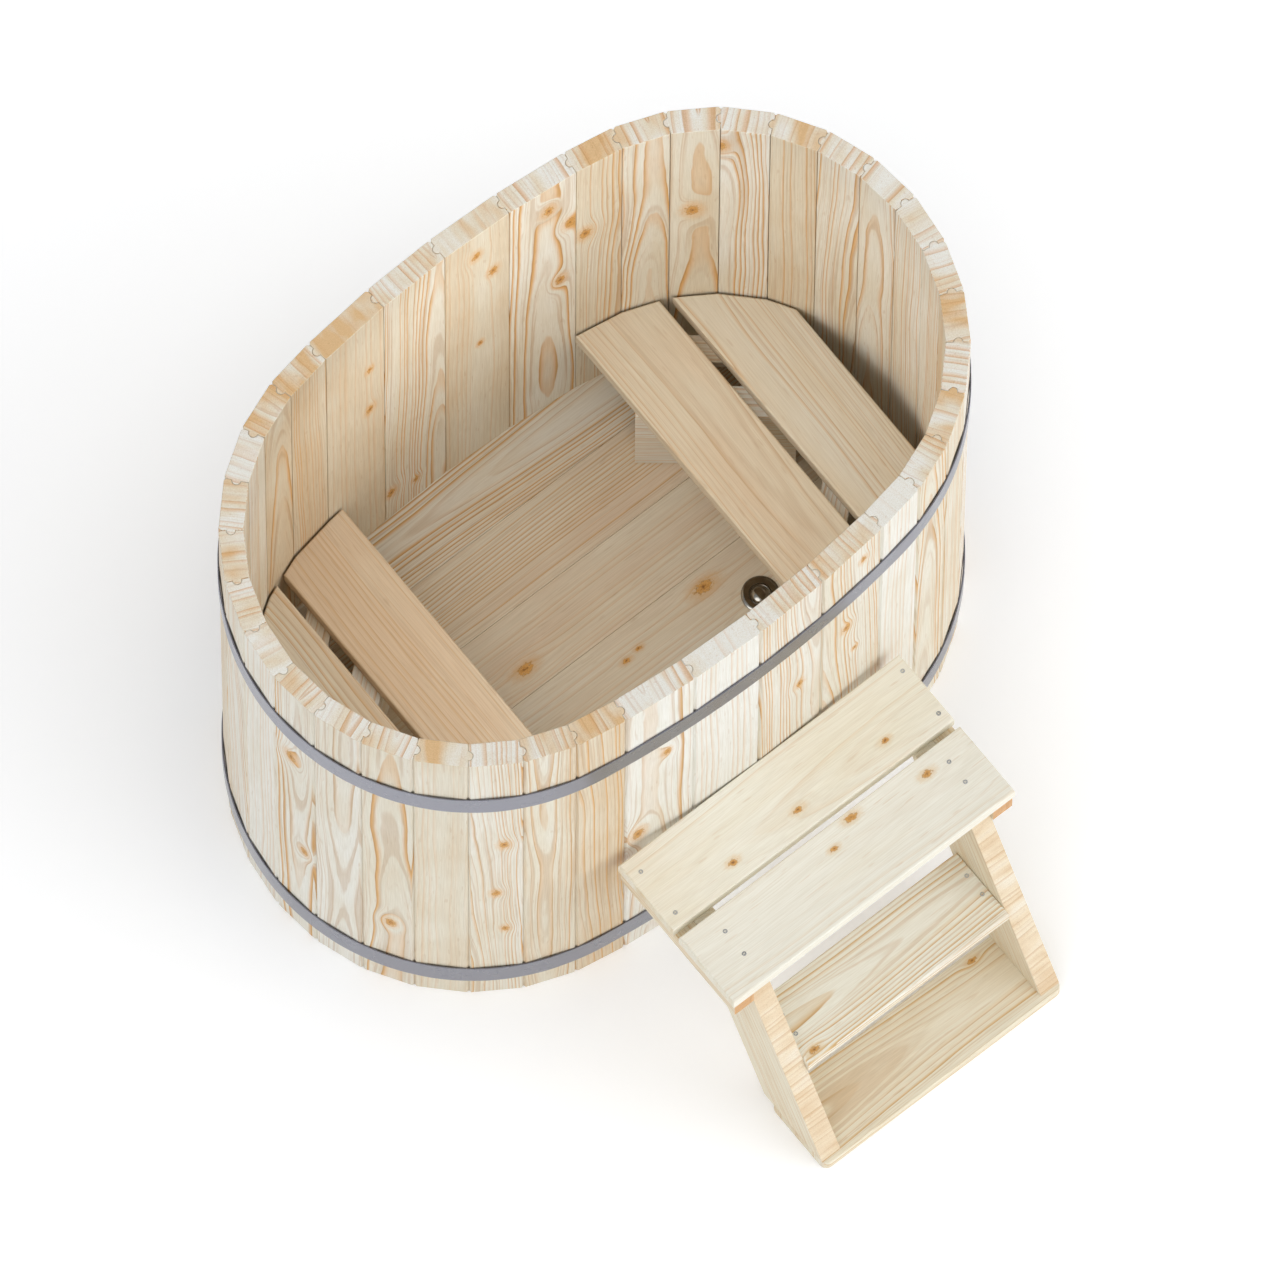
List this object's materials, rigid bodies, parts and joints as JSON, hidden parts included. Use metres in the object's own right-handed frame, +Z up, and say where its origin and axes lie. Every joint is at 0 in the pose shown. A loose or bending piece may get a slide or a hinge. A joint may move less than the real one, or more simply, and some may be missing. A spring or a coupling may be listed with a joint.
{
  "type": "wooden hot tub",
  "caption": "Oval hot tub of upright wooden staves with steel hoops, a boarded floor with a drain and plug, loose slatted benches and a leaning step stool.",
  "frame": {"origin": "on the ground under the middle of the tub, on the lower face of the middle bearer", "axes": "+X along the tub towards the drain end, -Y towards the steps, +Z up"},
  "size_m": [1.4082, 1.4625, 1.19],
  "materials": {
    "stave_wood": "planed, untreated",
    "floor_wood": "planed, untreated",
    "seat_wood": "planed, edges eased",
    "step_wood": "planed, edges eased",
    "beam_wood": "planed, untreated",
    "hoop_steel": "rolled flat band, satin",
    "bolt_steel": "plain",
    "drain_chrome": "polished",
    "rubber": "moulded"
  },
  "bodies": {
    "tub": {"staves_01": "stave_wood", "staves_02": "stave_wood", "staves_03": "stave_wood", "staves_04": "stave_wood", "staves_05": "stave_wood", "staves_06": "stave_wood", "staves_07": "stave_wood", "staves_08": "stave_wood", "staves_09": "stave_wood", "staves_10": "stave_wood", "staves_11": "stave_wood", "staves_12": "stave_wood", "staves_13": "stave_wood", "staves_14": "stave_wood", "staves_15": "stave_wood", "staves_16": "stave_wood", "staves_17": "stave_wood", "staves_18": "stave_wood", "floor_board_1": "floor_wood", "floor_board_2": "floor_wood", "floor_board_3": "floor_wood", "floor_board_4": "floor_wood", "floor_board_5": "floor_wood", "floor_board_6": "floor_wood", "bearer_left": "beam_wood", "bearer_middle": "beam_wood", "bearer_right": "beam_wood", "upper_hoop": "hoop_steel", "upper_lugs": "hoop_steel", "upper_bolt": "bolt_steel", "lower_hoop": "hoop_steel", "lower_lugs": "hoop_steel", "lower_bolt": "bolt_steel", "drain_body": "drain_chrome", "drain_seals": "rubber", "drain_nut": "drain_chrome"},
    "plug": {"plug": "drain_chrome", "plug_seal": "rubber"},
    "right_bench": {"right_bench_front": "seat_wood", "right_bench_rear": "seat_wood", "right_bench_battens": "seat_wood", "right_bench_legs": "beam_wood"},
    "left_bench": {"left_bench_front": "seat_wood", "left_bench_rear": "seat_wood", "left_bench_battens": "seat_wood", "left_bench_legs": "beam_wood"},
    "steps": {"platform_rear": "step_wood", "platform_front": "step_wood", "platform_cleats": "step_wood", "stringer_left": "beam_wood", "stringer_right": "beam_wood", "tread": "step_wood", "tread_cleats": "step_wood", "steps_base": "step_wood"}
  },
  "joints": [
    {"name": "right_bench_lift", "type": "slide", "parent": "tub", "child": "right_bench", "axis": [0, 0, 1], "range_m": [0, 1.1]},
    {"name": "left_bench_lift", "type": "slide", "parent": "tub", "child": "left_bench", "axis": [0, 0, 1], "range_m": [0, 1.1]},
    {"name": "plug_lift", "type": "slide", "parent": "tub", "child": "plug", "axis": [0, 0, 1], "range_m": [0, 0.1]},
    {"name": "steps_pull", "type": "slide", "parent": "tub", "child": "steps", "axis": [0, -1, 0], "range_m": [0, 0.5]}
  ]
}
